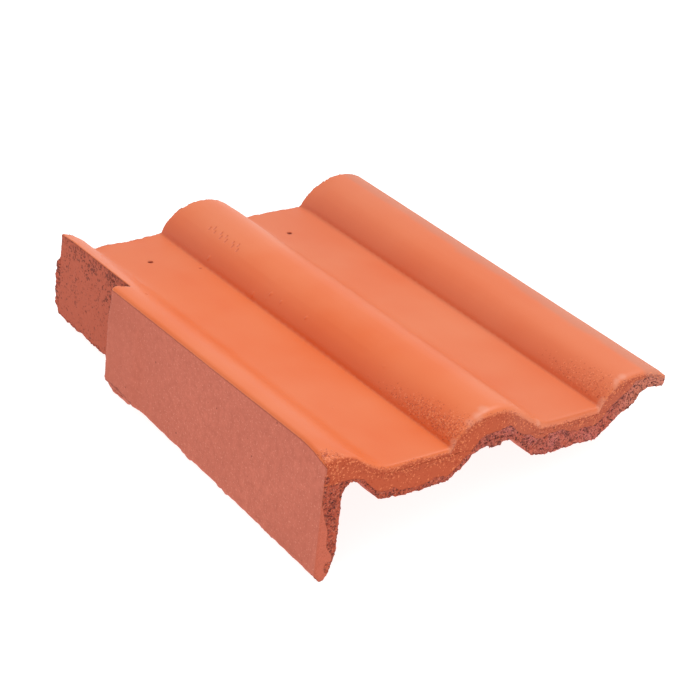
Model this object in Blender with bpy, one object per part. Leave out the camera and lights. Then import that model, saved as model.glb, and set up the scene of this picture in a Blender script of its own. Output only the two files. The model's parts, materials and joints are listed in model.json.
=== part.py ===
"""Concrete verge tile for a roof's left edge, in metres.

The tile is one cast piece. It is described in its own frame: x runs across it from the outer face of the
verge flap, y runs up the roof from the tail to the head, and z stands off the flat pans. The finished tile
is then turned to the way it lies when it is put down, with the side that weathers uppermost.
"""

import math

import bmesh
import bpy
from mathutils import Matrix, Vector
from mathutils.geometry import intersect_point_tri

# Overall plan
LENGTH = 0.420
WIDTH = 0.332

# Weathered face: an upstand along the verge, then pan, roll, pan and the cover roll, which ends past its crest
UPSTAND_HEIGHT = 0.0227
UPSTAND_RUN = 0.0505
UPSTAND_SLOPE = math.radians(37)
ROLL_PITCH = 0.150
COVER_REACH = 0.021
ROLL_HEIGHT = 0.025
ROLL_STEEP_RUN = 0.0425
ROLL_STEEP_POWER = 0.63
ROLL_EASY_RUN = 0.046
ROLL_EASY_SLOPE = math.radians(40)
OUTER_EDGE_ROUND = 0.003
COVER_EDGE_ROUND = 0.004
COVER_EDGE_TURN = 80

# Underside behind the tail: a shell that follows the rolls, haunched beside the flap past the lap
SHELL_THICKNESS = 0.0135
ROLL_THICKNESS = 0.0115
ARCH_INSET = 0.005
CORNER_HOLLOW_RISE = 0.0095
CORNER_HOLLOW_END = 0.032
CORNER_ROUND = 0.006
HAUNCH_LEG = 0.030
HAUNCH_LAP_GAP = 0.008
SEAT_DEPTH = 0.0165
SEAT_LENGTH = 0.085

# Thick foot under the tail, hollowed to lap over the tile below
FOOT_THICKNESS = 0.028
FOOT_LENGTH = 0.015
FOOT_BACK_LEAN = 0.7
FOOT_HOLLOW_WIDTH = 0.084
FOOT_HOLLOW_SLOPE = math.radians(40)
FOOT_HOLLOW_ROOF = 0.005
FOOT_HOLLOW_CROWN = 0.003
FOOT_CORNER_END = 0.053
FOOT_CORNER_ROOF = 0.006
FOOT_CORNER_ROUND = 0.008
COVER_LIP_UNDERSIDE = 0.0055
COVER_LIP_STEP = 0.005

# Rounded tail edge, which falls further at the verge corner
NOSE_LENGTH = 0.010
NOSE_DROP = 0.009
VERGE_FALL = 0.008
VERGE_FALL_LENGTH = 0.036
VERGE_FALL_WIDTH = 0.026

# Verge flap, deeper at the tail, with its head part set in to tuck under the next tile's flap
FLAP_THICKNESS = 0.0174
FLAP_THINNING = 0.0005
FLAP_DEPTH_TAIL = 0.086
FLAP_DEPTH_STEP = 0.066
FLAP_TIP_WIDTH = 0.012
FLAP_TIP_RISE = 0.004
FLAP_TIP_TAPER = 0.020
HEADLAP = 0.114
RECESS = 0.0176
HEAD_FLAP_THICKNESS = 0.018
HEAD_FLAP_OVERLAP = 0.016
HEAD_FLAP_DEPTH_STEP = 0.062
HEAD_FLAP_DEPTH_END = 0.057
HEAD_FLAP_TIP_ROUND = 0.003

# Lump of concrete left under the flap beside its step
LUMP_WIDTH = 0.015
LUMP_LENGTH = 0.080
LUMP_THICKEST_GAP = 0.020
LUMP_DROP = 0.006
LUMP_ROOT = 0.010

# Hanging nibs under the head, and a weather bar under the tail, one of each to a pan
NIB_WIDTH = 0.050
NIB_LENGTH = 0.017
NIB_DEPTH = 0.028
NIB_BACK_DEPTH = 0.022
NIB_HEAD_GAP = 0.019
NIB_ARCH_GAP = 0.001
BAR_LENGTH = 0.011
BAR_TIP_LENGTH = 0.006
BAR_DEPTH = 0.020
BAR_TAIL_GAP = 0.060
BAR_FOOT_GAP = 0.005

# Nail holes, one in each pan
NAIL_HOLE_DIAMETER = 0.005
NAIL_HOLE_FOOT_GAP = 0.0385
NAIL_HOLE_PITCH = 0.145
NAIL_HOLE_HEAD_GAP = 0.046

# Fineness of the facets, and how far hidden ends reach into or past what they join or cut
FLANK_STEPS = 7
STEEP_STEPS = 9
ROUND_STEPS = 3
NOSE_STEPS = 5
FALL_STEPS = 4
HOLE_SIDES = 16
LUMP_SEGMENTS = 16
LUMP_RINGS = 10
BURIED = 0.006
SPARE = 0.020

FIRST_CREST_X = WIDTH - COVER_REACH - ROLL_PITCH
STEP_Y = LENGTH - HEADLAP
COLOUR = (0.80, 0.24, 0.11, 1.0)


def crest_positions():
    return [FIRST_CREST_X, FIRST_CREST_X + ROLL_PITCH]


def pan_positions():
    """Left and right edge of each flat pan."""
    lefts = [UPSTAND_RUN, FIRST_CREST_X + ROLL_EASY_RUN]
    return [(left, crest - ROLL_STEEP_RUN) for left, crest in zip(lefts, crest_positions())]


def easy_flank(height, run, slope):
    """Points down a flank that leaves its crest level, bends over and runs out in a straight slope."""
    bend = (run * math.tan(slope) - height) / (1 / math.cos(slope) - 1)
    angles = [slope * k / FLANK_STEPS for k in range(FLANK_STEPS + 1)]
    return [(bend * math.sin(a), height - bend * (1 - math.cos(a))) for a in angles] + [(run, 0.0)]


def steep_flank(height, run):
    """Points up a flank that rises almost upright from its foot and rounds over to its crest."""
    angles = [math.pi / 2 * k / STEEP_STEPS for k in range(STEEP_STEPS)]
    return [(-run * math.cos(a), height * math.sin(a) ** (2 * ROLL_STEEP_POWER)) for a in angles]


def height_on(points, x):
    """Height at x of an outline given by points in order of x."""
    for (x0, z0), (x1, z1) in zip(points, points[1:]):
        if x0 <= x <= x1:
            return z0 + (z1 - z0) * (x - x0) / (x1 - x0)
    return points[-1][1]


def round_corner(centre, radius, start, end):
    """Points on an arc, with angles in degrees from +x towards +z."""
    angles = [math.radians(start + (end - start) * k / ROUND_STEPS) for k in range(ROUND_STEPS + 1)]
    return [(centre[0] + radius * math.cos(a), centre[1] + radius * math.sin(a)) for a in angles]


def roll_points(crest_x, height, steep_run, easy_run, base):
    profile = steep_flank(height, steep_run) + easy_flank(height, easy_run, ROLL_EASY_SLOPE)
    return [(crest_x + x, base + z) for x, z in profile]


def weathered_profile():
    """The upper surface from the flap's outer face to past the cover roll, before its edges are rounded."""
    points = easy_flank(UPSTAND_HEIGHT, UPSTAND_RUN, UPSTAND_SLOPE)
    for crest_x in crest_positions():
        points += roll_points(crest_x, ROLL_HEIGHT, ROLL_STEEP_RUN, ROLL_EASY_RUN, 0.0)
    return points


def top_outline():
    """The upper surface between its two rounded edges."""
    profile = weathered_profile()
    left = OUTER_EDGE_ROUND
    right = WIDTH - COVER_EDGE_ROUND
    left_centre = (left, height_on(profile, left) - OUTER_EDGE_ROUND)
    right_centre = (right, height_on(profile, right) - COVER_EDGE_ROUND)
    between = [(x, z) for x, z in profile if left < x < right]
    return (
        round_corner(left_centre, OUTER_EDGE_ROUND, 180, 90)
        + between
        + round_corner(right_centre, COVER_EDGE_ROUND, COVER_EDGE_TURN, 0)
    )


def foot_outline():
    """The underside of the thick tail, from the flap's inner face to the cover roll's edge."""
    reach = (FOOT_THICKNESS - FOOT_HOLLOW_ROOF - FOOT_HOLLOW_CROWN) / math.tan(FOOT_HOLLOW_SLOPE)
    half = FOOT_HOLLOW_WIDTH / 2
    eaves = -FOOT_HOLLOW_ROOF - FOOT_HOLLOW_CROWN
    rise = FOOT_THICKNESS - FOOT_CORNER_ROOF
    corner_centre = (FLAP_THICKNESS + FOOT_CORNER_ROUND, -FOOT_CORNER_ROOF - FOOT_CORNER_ROUND)
    first, cover = crest_positions()
    return (
        round_corner(corner_centre, FOOT_CORNER_ROUND, 180, 90)
        + [(FOOT_CORNER_END - rise, -FOOT_CORNER_ROOF), (FOOT_CORNER_END, -FOOT_THICKNESS)]
        + [(first - half, -FOOT_THICKNESS), (first - half + reach, eaves), (first, -FOOT_HOLLOW_ROOF)]
        + [(first + half - reach, eaves), (first + half, -FOOT_THICKNESS)]
        + [(cover - half, -FOOT_THICKNESS), (cover - half + reach, eaves)]
        + [(cover - COVER_LIP_STEP, -FOOT_HOLLOW_ROOF), (cover, COVER_LIP_UNDERSIDE)]
        + [(WIDTH, COVER_LIP_UNDERSIDE)]
    )


def shell_outline():
    """The underside behind the foot, reaching past the cover roll's edge."""
    inner_face = FLAP_THICKNESS - FLAP_THINNING
    roof = -SHELL_THICKNESS + CORNER_HOLLOW_RISE
    points = round_corner((inner_face + CORNER_ROUND, roof - CORNER_ROUND), CORNER_ROUND, 180, 90)
    points += [(CORNER_HOLLOW_END, roof), (CORNER_HOLLOW_END + CORNER_HOLLOW_RISE, -SHELL_THICKNESS)]
    arch_height = ROLL_HEIGHT - ROLL_THICKNESS + SHELL_THICKNESS
    for crest_x in crest_positions():
        steep_run = ROLL_STEEP_RUN - ARCH_INSET
        easy_run = ROLL_EASY_RUN - ARCH_INSET
        points += roll_points(crest_x, arch_height, steep_run, easy_run, -SHELL_THICKNESS)
    return [(x, z) for x, z in points if x < WIDTH] + [(WIDTH + SPARE, height_on(points, WIDTH))]


def flap_tip(outer_x, inner_x, depth):
    """The rounded lower edge of the flap, from its inner face round to its outer face."""
    tip_x = outer_x + FLAP_TIP_WIDTH / 2
    return [
        (inner_x, -depth + FLAP_TIP_TAPER),
        (outer_x + FLAP_TIP_WIDTH, -depth + FLAP_TIP_RISE),
        (tip_x + FLAP_TIP_RISE / 2, -depth),
        (tip_x - FLAP_TIP_RISE / 2, -depth),
        (outer_x, -depth + FLAP_TIP_RISE),
    ]


def extrude_outline(name, outline, start_y, end_y):
    """A solid with the given x-z outline, from start_y to end_y."""
    curve = bpy.data.curves.new(name, "CURVE")
    curve.dimensions = "2D"
    curve.fill_mode = "BOTH"
    curve.extrude = (end_y - start_y) / 2
    spline = curve.splines.new("POLY")
    spline.points.add(len(outline) - 1)
    for point, (x, z) in zip(spline.points, outline):
        point.co = (x, z, 0, 1)
    spline.use_cyclic_u = True
    drawn = bpy.data.objects.new(name + "_outline", curve)
    drawn.rotation_euler.x = math.pi / 2
    drawn.location.y = (start_y + end_y) / 2
    bpy.context.scene.collection.objects.link(drawn)
    bpy.context.view_layer.update()
    depsgraph = bpy.context.evaluated_depsgraph_get()
    mesh = bpy.data.meshes.new_from_object(drawn.evaluated_get(depsgraph))
    mesh.name = name
    mesh.transform(drawn.matrix_world)
    weld(mesh)
    bpy.data.objects.remove(drawn)
    return bpy.data.objects.new(name, mesh)


def weld(mesh):
    bm = bmesh.new()
    bm.from_mesh(mesh)
    bmesh.ops.remove_doubles(bm, verts=bm.verts, dist=1e-6)
    bmesh.ops.recalc_face_normals(bm, faces=bm.faces)
    bm.to_mesh(mesh)
    bm.free()


def box(name, low, high):
    """A block between two corners."""
    mesh = bpy.data.meshes.new(name)
    bm = bmesh.new()
    bmesh.ops.create_cube(bm, size=1)
    size = [b - a for a, b in zip(low, high)]
    middle = [(a + b) / 2 for a, b in zip(low, high)]
    bmesh.ops.transform(bm, matrix=Matrix.Translation(middle) @ Matrix.Diagonal(size).to_4x4(), verts=bm.verts)
    bm.to_mesh(mesh)
    bm.free()
    return bpy.data.objects.new(name, mesh)


def fall(x, y):
    """How far the upper surface drops at the rounded tail edge and at its verge corner."""
    nose = 1 - math.sqrt(max(0.0, 1 - max(0.0, 1 - y / NOSE_LENGTH) ** 2))
    along = max(0.0, 1 - y / VERGE_FALL_LENGTH)
    across = max(0.0, 1 - x / VERGE_FALL_WIDTH)
    return NOSE_DROP * nose + VERGE_FALL * along**2 * across


def round_tail(tile):
    """Cut rings near the tail and let the upper surface fall along them."""
    nose_rings = [NOSE_LENGTH * (1 - math.cos(math.pi / 2 * k / NOSE_STEPS)) for k in range(1, NOSE_STEPS + 1)]
    behind = VERGE_FALL_LENGTH - NOSE_LENGTH
    fall_rings = [NOSE_LENGTH + behind * k / FALL_STEPS for k in range(1, FALL_STEPS + 1)]
    bm = bmesh.new()
    bm.from_mesh(tile.data)
    for y in nose_rings + fall_rings:
        geometry = bm.verts[:] + bm.edges[:] + bm.faces[:]
        bmesh.ops.bisect_plane(bm, geom=geometry, plane_co=(0, y, 0), plane_no=(0, 1, 0))
    upper = weathered_profile()
    lower = foot_outline()
    for vertex in bm.verts:
        x, y, z = vertex.co
        if z > (height_on(upper, x) + height_on(lower, max(x, lower[0][0]))) / 2:
            vertex.co.z -= fall(x, y)
    bm.to_mesh(tile.data)
    bm.free()


def lift_lower_edge(flap, edge_top, rise):
    """Let the flap's lower edge rise towards the head, by rise for each metre."""
    for vertex in flap.data.vertices:
        if vertex.co.z < edge_top:
            vertex.co.z += rise * vertex.co.y


def make_blank():
    """The whole cross-section as it shows at the tail, run past the head."""
    flap = flap_tip(0.0, FLAP_THICKNESS, FLAP_DEPTH_TAIL)
    outline = top_outline() + foot_outline()[::-1] + flap
    blank = extrude_outline("verge_tile", outline, 0.0, LENGTH + SPARE)
    lift_lower_edge(blank, -FOOT_THICKNESS - BURIED, (FLAP_DEPTH_TAIL - FLAP_DEPTH_STEP) / STEP_Y)
    round_tail(blank)
    return blank


def make_shell_cutter():
    """What is hollowed out behind the foot, whose back face leans."""
    below = -FLAP_DEPTH_TAIL - SPARE
    inner_face = FLAP_THICKNESS - FLAP_THINNING
    outline = shell_outline() + [(WIDTH + SPARE, below), (inner_face, below)]
    cutter = extrude_outline("hollow_behind_foot", outline, FOOT_LENGTH, LENGTH + 2 * SPARE)
    for vertex in cutter.data.vertices:
        if vertex.co.y < STEP_Y and vertex.co.z > -FOOT_THICKNESS:
            vertex.co.y += FOOT_BACK_LEAN * (vertex.co.z + FOOT_THICKNESS)
    return cutter


def make_head_flap():
    """The set-in head part of the flap, which starts inside the main part."""
    outer = RECESS - BURIED
    inner = RECESS + HEAD_FLAP_THICKNESS
    rise = (HEAD_FLAP_DEPTH_STEP - HEAD_FLAP_DEPTH_END) / HEADLAP
    depth = HEAD_FLAP_DEPTH_STEP + rise * STEP_Y
    tip = round_corner((inner - HEAD_FLAP_TIP_ROUND, -depth + HEAD_FLAP_TIP_ROUND), HEAD_FLAP_TIP_ROUND, 0, -90)
    outline = [(outer, 0.0), (inner, 0.0)] + tip + [(outer, -depth)]
    flap = extrude_outline("head_flap", outline, STEP_Y - HEAD_FLAP_OVERLAP, LENGTH + SPARE)
    lift_lower_edge(flap, -depth + 2 * HEAD_FLAP_TIP_ROUND, rise)
    return flap


def make_haunch():
    """A three-cornered thickening between the flap and the shell, clear of the tile lapped below."""
    inner_face = FLAP_THICKNESS - FLAP_THINNING
    top = -SHELL_THICKNESS + CORNER_HOLLOW_RISE
    low = (inner_face - BURIED, top - HAUNCH_LEG)
    high = (inner_face + HAUNCH_LEG, top)
    outline = [(low[0], top + BURIED), low, (inner_face, low[1]), high, (high[0], top + BURIED)]
    return extrude_outline("flap_haunch", outline, HEADLAP + HAUNCH_LAP_GAP, LENGTH + SPARE)


def make_lump():
    """A flattened ball of spilt concrete on the flap's lower edge, cut off where the recess starts."""
    mesh = bpy.data.meshes.new("lump")
    bm = bmesh.new()
    bmesh.ops.create_uvsphere(bm, u_segments=LUMP_SEGMENTS, v_segments=LUMP_RINGS, radius=0.5)
    size = Matrix.Diagonal((LUMP_WIDTH, LUMP_LENGTH, 2 * (LUMP_DROP + LUMP_ROOT))).to_4x4()
    bmesh.ops.transform(bm, matrix=size, verts=bm.verts)
    bm.to_mesh(mesh)
    bm.free()
    lump = bpy.data.objects.new("lump", mesh)
    middle_y = STEP_Y - LUMP_THICKEST_GAP
    edge = FLAP_DEPTH_TAIL - (FLAP_DEPTH_TAIL - FLAP_DEPTH_STEP) * middle_y / STEP_Y
    lump.location = (FLAP_THICKNESS / 2, middle_y, -edge + LUMP_ROOT)
    return lump


def make_seats():
    """Flat pads under the head of each pan that lie on the roof batten."""
    seats = []
    for number, (left, right) in enumerate(pan_positions(), 1):
        low = (left, LENGTH - SEAT_LENGTH, -SEAT_DEPTH)
        high = (right, LENGTH + SPARE, -SHELL_THICKNESS + BURIED)
        seats.append(box(f"batten_seat_{number}", low, high))
    return seats


def make_nibs():
    """Hanging nibs, deepest at the upright face that bears on the batten."""
    nibs = []
    head_side = LENGTH - NIB_HEAD_GAP
    for number, (_, right) in enumerate(pan_positions(), 1):
        arch_foot = right + ARCH_INSET
        low = (arch_foot - NIB_ARCH_GAP - NIB_WIDTH, head_side - NIB_LENGTH, -NIB_DEPTH)
        high = (arch_foot - NIB_ARCH_GAP, head_side, -SHELL_THICKNESS + BURIED)
        nib = box(f"nib_{number}", low, high)
        for vertex in nib.data.vertices:
            if vertex.co.z < -SHELL_THICKNESS and vertex.co.y > head_side - NIB_LENGTH / 2:
                vertex.co.z = -NIB_BACK_DEPTH
        nibs.append(nib)
    return nibs


def make_weather_bars():
    """Bars across the underside of the pans that stop blown rain."""
    bars = []
    for number, (left, right) in enumerate(pan_positions(), 1):
        low = (left + BAR_FOOT_GAP, BAR_TAIL_GAP, -BAR_DEPTH)
        high = (right - BAR_FOOT_GAP, BAR_TAIL_GAP + BAR_LENGTH, -SHELL_THICKNESS + BURIED)
        bar = box(f"weather_bar_{number}", low, high)
        for vertex in bar.data.vertices:
            if vertex.co.z < -SHELL_THICKNESS:
                middle_y = BAR_TAIL_GAP + BAR_LENGTH / 2
                vertex.co.y = middle_y + (vertex.co.y - middle_y) * BAR_TIP_LENGTH / BAR_LENGTH
        bars.append(bar)
    return bars


def make_hole_cutters():
    cutters = []
    first_x = pan_positions()[0][1] - NAIL_HOLE_FOOT_GAP
    for number in range(len(pan_positions())):
        mesh = bpy.data.meshes.new(f"nail_hole_{number + 1}")
        bm = bmesh.new()
        radius = NAIL_HOLE_DIAMETER / 2
        depth = SHELL_THICKNESS + 2 * SPARE
        bmesh.ops.create_cone(bm, cap_ends=True, segments=HOLE_SIDES, radius1=radius, radius2=radius, depth=depth)
        bm.to_mesh(mesh)
        bm.free()
        cutter = bpy.data.objects.new(mesh.name, mesh)
        cutter.location = (first_x + number * NAIL_HOLE_PITCH, LENGTH - NAIL_HOLE_HEAD_GAP, 0.0)
        cutters.append(cutter)
    return cutters


def combine(tile, tool, operation, tools):
    """Join or cut the tile with a tool that stays in the file as a wire guide."""
    tools.objects.link(tool)
    tool.hide_render = True
    tool.display_type = "WIRE"
    modifier = tile.modifiers.new(tool.name, "BOOLEAN")
    modifier.object = tool
    modifier.operation = operation
    modifier.solver = "EXACT"


def centre_of_mass(bm):
    """Centre of a closed mesh of even density, from the tetrahedra under its triangles."""
    volume = 0.0
    moment = Vector()
    for a, b, c in bm.calc_loop_triangles():
        part = a.vert.co.dot(b.vert.co.cross(c.vert.co)) / 6
        volume += part
        moment += part * (a.vert.co + b.vert.co + c.vert.co) / 4
    return moment / volume


def underside_it_lies_on(mesh):
    """Outward direction of the outer face that the tile comes to lie on, weathered side up."""
    bm = bmesh.new()
    bm.from_mesh(mesh)
    centre = centre_of_mass(bm)
    bmesh.ops.delete(bm, geom=bm.faces[:], context="FACES_ONLY")
    bmesh.ops.convex_hull(bm, input=bm.verts)
    bmesh.ops.recalc_face_normals(bm, faces=bm.faces)
    stable = []
    for face in bm.faces:
        a, b, c = (vertex.co for vertex in face.verts)
        below = centre + face.normal * (a - centre).dot(face.normal)
        if intersect_point_tri(below, a, b, c):
            stable.append(face.normal.copy())
    bm.free()
    return min(stable, key=lambda normal: normal.z)


def lay_down(tile, holder):
    """Turn the tile to lie on the ground, with its length along y and the origin under its middle."""
    bpy.context.view_layer.update()
    depsgraph = bpy.context.evaluated_depsgraph_get()
    mesh = bpy.data.meshes.new_from_object(tile.evaluated_get(depsgraph))
    up = -underside_it_lies_on(mesh)
    across = Vector((0, 1, 0)).cross(up).normalized()
    turn = Matrix((across, up.cross(across), up)).to_4x4()
    corners = [turn @ vertex.co for vertex in mesh.vertices]
    low = [min(corner[axis] for corner in corners) for axis in range(3)]
    high = [max(corner[axis] for corner in corners) for axis in range(3)]
    middle = Vector(((low[0] + high[0]) / 2, (low[1] + high[1]) / 2, low[2]))
    bpy.data.meshes.remove(mesh)
    holder.matrix_world = Matrix.Translation(-middle) @ turn


def concrete_material():
    material = bpy.data.materials.new("coated_concrete")
    material.use_nodes = True
    shader = material.node_tree.nodes["Principled BSDF"]
    shader.inputs["Base Color"].default_value = COLOUR
    shader.inputs["Roughness"].default_value = 0.6
    shader.inputs["Metallic"].default_value = 0.0
    material.diffuse_color = COLOUR
    return material


def main():
    for thing in list(bpy.data.objects):
        bpy.data.objects.remove(thing)
    part = bpy.data.collections.new("concrete_verge_tile")
    tools = bpy.data.collections.new("cutters_and_guides")
    bpy.context.scene.collection.children.link(part)
    bpy.context.scene.collection.children.link(tools)

    tile = make_blank()
    part.objects.link(tile)
    combine(tile, make_shell_cutter(), "DIFFERENCE", tools)
    combine(tile, make_head_flap(), "UNION", tools)
    combine(tile, make_haunch(), "UNION", tools)
    combine(tile, make_lump(), "UNION", tools)
    for piece in make_seats() + make_nibs() + make_weather_bars():
        combine(tile, piece, "UNION", tools)
    for cutter in make_hole_cutters():
        combine(tile, cutter, "DIFFERENCE", tools)
    low = -FLAP_DEPTH_TAIL - SPARE
    high = ROLL_HEIGHT + SPARE
    recess = box("head_flap_recess", (-SPARE, STEP_Y, low), (RECESS, LENGTH + 2 * SPARE, high))
    trim = box("head_trim", (-SPARE, LENGTH, low), (WIDTH + 2 * SPARE, LENGTH + 3 * SPARE, high))
    combine(tile, recess, "DIFFERENCE", tools)
    combine(tile, trim, "DIFFERENCE", tools)

    tile.data.materials.append(concrete_material())
    tile.data.shade_smooth()
    tile.data.set_sharp_from_angle(angle=math.radians(35))
    holder = bpy.data.objects.new("lying_attitude", None)
    part.objects.link(holder)
    for thing in [tile, *tools.objects]:
        thing.parent = holder
    lay_down(tile, holder)


main()
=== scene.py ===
import json
import math

import bmesh
import bpy
import numpy as np
from mathutils import Matrix, Vector
from mathutils.kdtree import KDTree


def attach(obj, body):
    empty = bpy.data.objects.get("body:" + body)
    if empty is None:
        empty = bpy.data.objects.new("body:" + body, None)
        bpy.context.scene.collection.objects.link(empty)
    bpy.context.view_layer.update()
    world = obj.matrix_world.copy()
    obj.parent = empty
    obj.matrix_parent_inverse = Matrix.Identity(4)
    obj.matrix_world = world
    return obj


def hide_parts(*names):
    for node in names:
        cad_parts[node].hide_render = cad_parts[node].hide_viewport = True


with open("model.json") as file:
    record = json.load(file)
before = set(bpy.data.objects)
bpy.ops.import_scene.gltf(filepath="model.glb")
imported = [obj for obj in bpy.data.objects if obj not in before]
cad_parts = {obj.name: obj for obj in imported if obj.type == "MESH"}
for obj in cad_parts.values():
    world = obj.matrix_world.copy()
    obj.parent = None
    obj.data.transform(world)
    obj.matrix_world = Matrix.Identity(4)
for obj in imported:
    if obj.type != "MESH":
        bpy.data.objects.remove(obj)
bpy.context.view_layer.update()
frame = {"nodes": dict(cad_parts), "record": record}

# Lengths are in metres, or as a comment says, in the tile's own frame: x runs across from the verge flap's
# outer face, y up the roof from tail to head, and z off the flat pans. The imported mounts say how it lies.
MM = 0.001
LENGTH = 0.420
WIDTH = 0.332
HEADLAP = 0.114
STEP_Y = LENGTH - HEADLAP
NIB_FACE_RIGHT = (0.2475, 0.384, -0.022)

# Weathered face, across the tile
UPSTAND_HEIGHT = 0.0227
UPSTAND_RUN = 0.0505
UPSTAND_SLOPE = math.radians(37)
ROLL_PITCH = 0.150
COVER_REACH = 0.021
ROLL_HEIGHT = 0.025
ROLL_STEEP_RUN = 0.0425
ROLL_STEEP_POWER = 0.63
ROLL_EASY_RUN = 0.046
ROLL_EASY_SLOPE = math.radians(40)
CRESTS = (WIDTH - COVER_REACH - ROLL_PITCH, WIDTH - COVER_REACH)
EASY_FEET = (UPSTAND_RUN, CRESTS[0] + ROLL_EASY_RUN)
EDGE_ROUND = 0.004

# Its profile: the step between points, and how far creases and the feet of the easy slopes are blurred. The
# feet turn crisp again between two places up the roof.
PROFILE_STEP = 0.0002
BLUR_REACH = 3
CREASE_BLUR = 0.0006
EASY_FOOT_BLUR = 0.0105
EASY_FOOT_WIDTH = 2.4 * EASY_FOOT_BLUR
CRISP_FEET = (0.300, 0.412)

# Tail: its rounded nose, the thick foot with its hollows, and the flap
NOSE_LENGTH = 0.010
NOSE_DROP = 0.009
PAN_NOSE_FULLNESS = 8.0
ROLL_NOSE_FULLNESS = 3.0
VERGE_FALL = 0.008
VERGE_FALL_LENGTH = 0.036
VERGE_FALL_WIDTH = 0.026
FOOT_THICKNESS = 0.028
FOOT_HOLLOW_WIDTH = 0.084
FOOT_HOLLOW_ROOF = 0.005
FOOT_HOLLOW_LEAN = 0.028
FOOT_CORNER_END = 0.053
FOOT_CORNER_LEAN = 0.022
FOOT_CORNER_ROOF = 0.006
COVER_LIP_UNDERSIDE = 0.0055
FLAP_THICKNESS = 0.0174
FLAP_DEPTH_TAIL = 0.086
FLAP_DEPTH_STEP = 0.066
RECESS = 0.0176
HEAD_FLAP_THICKNESS = 0.018
HEAD_FLAP_DEPTH_STEP = 0.062
HEAD_FLAP_DEPTH_END = 0.057

# Nail holes: x and y of each
NAIL_HOLES = ((0.080, 0.374), (0.225, 0.374))
NAIL_HOLE_RADIUS = 0.0025

# Small spots in the coat: x and y of each, its radius, and its height, which is below 0 for a pit
SPOTS = (
    (0.1218, 0.3470, 0.0019, 0.0006), (0.1204, 0.2765, 0.0017, 0.0005), (0.1260, 0.2590, 0.0019, 0.0006),
    (0.1257, 0.2434, 0.0016, 0.0005), (0.1268, 0.2088, 0.0018, 0.0006), (0.0730, 0.0927, 0.0012, 0.0004),
    (0.0260, 0.2940, 0.0015, -0.0007), (0.1130, 0.3460, 0.0020, -0.0004),
)

# The share of a spot's radius, or of a stroke's width, over which it is full
MARK_CORE = 0.3

# How the CAD solid's facets are joined, and the blocks that its faces are cut into
WELD_REACH = 2e-6
FLAT_ANGLE = math.radians(0.4)
BLOCK = 9.0 * MM
BLOCK_SNAP = 0.4 * MM

# Longest edges of the fine mesh, and how fast they grow away from fine zones and sharp corners. Points past
# all three of the last values, in x, y and depth, are hidden.
PLAIN_EDGE = 6.0 * MM
TOP_EDGE = 4.9 * MM
CORNER_EDGE = 1.9 * MM
HIDDEN_CORNER_EDGE = 5.4 * MM
EDGE_GROWTH = 0.50
CORNER_GROWTH = 0.65
SHARP_ANGLE = math.radians(32)
UNDERSIDE_FROM = (0.022, 0.018, 0.010)

# An edge is split if it is this much too long, isn't short, and is nearly its triangle's longest
OVERLONG = 1.30
SHORTEST_SPLIT = 0.7 * MM
FAIR_SHARE = 0.7
MOST_PASSES = 24

# Rounding of the solid's sharp edges, by the distance from them
CORNER_ROUNDING = 0.5
ROUNDED_WITHIN = (1.2 * MM, 2.6 * MM)
ROUNDING_PASSES = 5

# How near its true curve a point lies that is put on it: on the weathered face, and as a share on the nose.
# The nose gets rounder as the face rises between the two heights.
SEAT_REACH = 0.9 * MM
NOSE_BAND = 0.12
ROUND_NOSE_FROM = (2 * MM, 18 * MM)

PIECE = "tile_surface"


def tile_to_world(record):
    """How the tile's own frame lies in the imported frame, from its mounts."""
    mounts = {mount["name"]: mount for mount in record["mounts"]}
    across = Vector(mounts["flap_inner_face"]["axis"]).normalized()
    off_pans = -Vector(mounts["batten_seat_right"]["axis"]).normalized()
    up_roof = off_pans.cross(across).normalized()
    across = up_roof.cross(off_pans)
    turn = Matrix((across, up_roof, off_pans)).transposed()
    origin = Vector(mounts["nib_face_right"]["pos_m"]) - turn @ Vector(NIB_FACE_RIGHT)
    return Matrix.Translation(origin) @ turn.to_4x4()


def smooth(low, high, value):
    """0 below low, 1 above high, and an even curve between."""
    t = np.clip((value - low) / (high - low), 0.0, 1.0)
    return t * t * (3 - 2 * t)


def fade(low, high, value):
    """1 below low, 0 above high, and an even curve between."""
    return 1 - smooth(low, high, value)


def bell(value, middle, width):
    """1 at the middle, falling off on both sides over width."""
    return np.exp(-(((value - middle) / width) ** 2))


def easy_flank(distance, height, run, slope):
    """Height of a flank at a distance from its crest: rounded at the crest, then a straight slope."""
    bend = (run * math.tan(slope) - height) / (1 / math.cos(slope) - 1)
    arc = height - bend + np.sqrt(np.maximum(bend**2 - distance**2, 0.0))
    straight = (run - distance) * math.tan(slope)
    return np.maximum(np.where(distance < bend * math.sin(slope), arc, straight), 0.0)


def steep_flank(distance, height, run):
    """Height of a flank at a distance from its crest, where it falls more and more steeply."""
    return height * np.maximum(1 - (distance / run) ** 2, 0.0) ** ROLL_STEEP_POWER


def blurred(heights, width):
    """The heights of a profile, smoothed over about width."""
    reach = int(BLUR_REACH * width / PROFILE_STEP)
    kernel = np.exp(-((np.arange(-reach, reach + 1) * PROFILE_STEP / width) ** 2))
    return np.convolve(np.pad(heights, reach, mode="edge"), kernel / kernel.sum(), mode="valid")


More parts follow.
